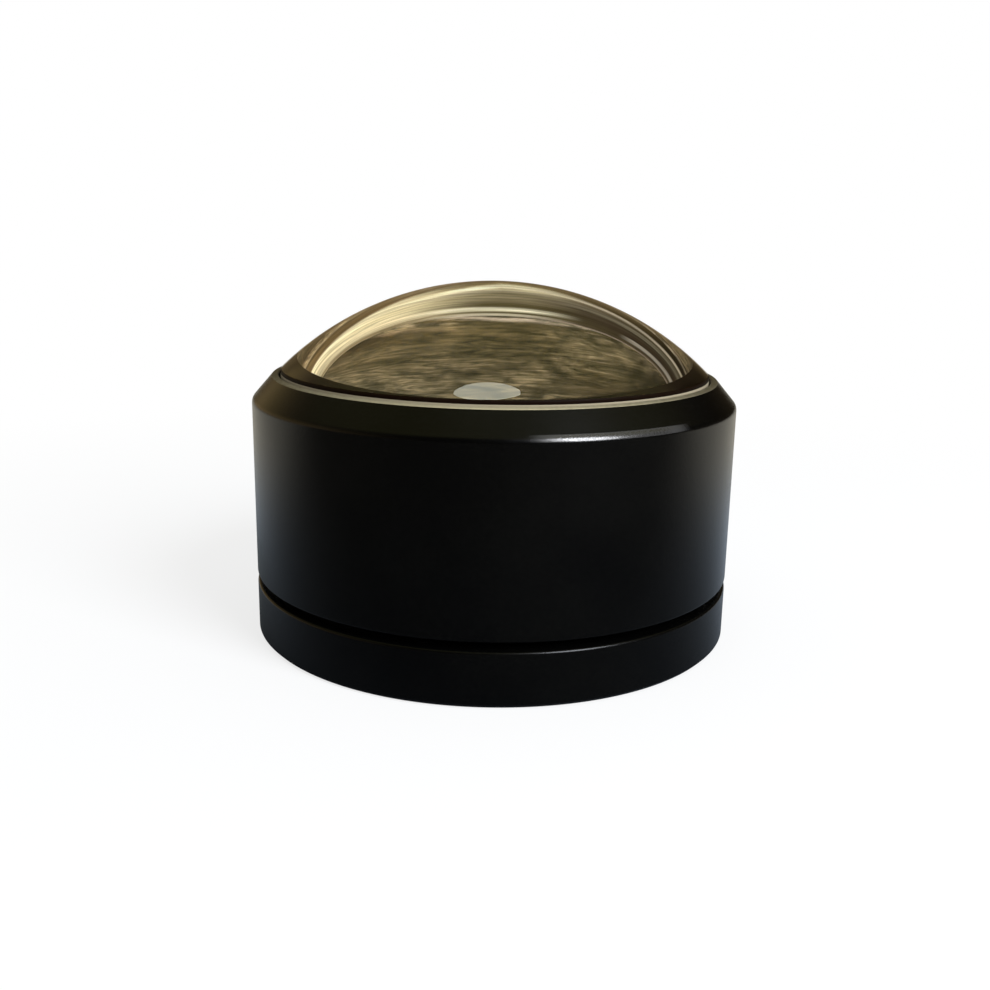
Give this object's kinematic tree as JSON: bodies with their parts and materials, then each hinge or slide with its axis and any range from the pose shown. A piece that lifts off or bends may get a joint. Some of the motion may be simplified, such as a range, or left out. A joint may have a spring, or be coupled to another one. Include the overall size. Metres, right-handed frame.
{
  "type": "survey reflector",
  "caption": "Round survey reflector: domed glass front in a black barrel that turns on a grooved base ring, with a mirror carriage inside and a tripod socket below.",
  "frame": {"origin": "centre of the base ring's flat underside, the datum face", "axes": "+Z along the optical axis, from the datum face to the crown of the dome; +X through the first guide pin"},
  "size_m": [0.07, 0.07, 0.0505],
  "materials": {
    "black_anodised": "satin black anodised",
    "matt_black": "matt black anodised",
    "front_glass": "polished",
    "rear_glass": "polished",
    "copper_mirror": "copper coated",
    "brass": "turned",
    "bronze": "turned",
    "steel": "ground",
    "black_oxide": "black oxide",
    "ptfe": "skived",
    "nitrile": "moulded"
  },
  "bodies": {
    "base": {"base_ring": "black_anodised", "base_plate": "black_anodised", "thread_bush": "brass", "plate_screw_1": "black_oxide", "plate_screw_2": "black_oxide", "plate_screw_3": "black_oxide", "plate_screw_4": "black_oxide", "guide_pin_1": "steel", "guide_pin_2": "steel", "guide_pin_3": "steel", "stop_pin": "steel", "wave_spring": "steel", "lower_glide_ring": "ptfe", "upper_glide_ring": "ptfe", "barrel_retainer": "black_anodised", "dust_seal": "nitrile"},
    "barrel": {"barrel": "black_anodised", "front_lens": "front_glass", "lens_gasket": "nitrile", "spacer_tube": "matt_black", "rear_lens_cell": "matt_black", "cell_retainer": "black_anodised", "rear_lens": "rear_glass", "rear_lens_retainer": "matt_black"},
    "mirror_carriage": {"mirror_cell": "matt_black", "mirror": "copper_mirror", "mirror_cushion": "nitrile", "mirror_retainer": "matt_black", "guide_bush_1": "bronze", "guide_bush_2": "bronze", "guide_bush_3": "bronze"}
  },
  "joints": [
    {"name": "barrel_turn", "type": "hinge", "parent": "base", "child": "barrel", "pos_m": [0, 0, 0.00867], "axis": [0, 0, 1], "range_deg": [-140, 140]},
    {"name": "carriage_focus", "type": "slide", "parent": "base", "child": "mirror_carriage", "axis": [0, 0, 1], "range_m": [-0.0004, 0.0004], "deforming": ["wave_spring"]}
  ],
  "couplings": [
    {"joint": "carriage_focus", "follows": "barrel_turn", "m_per_rad": 0.00015915}
  ]
}
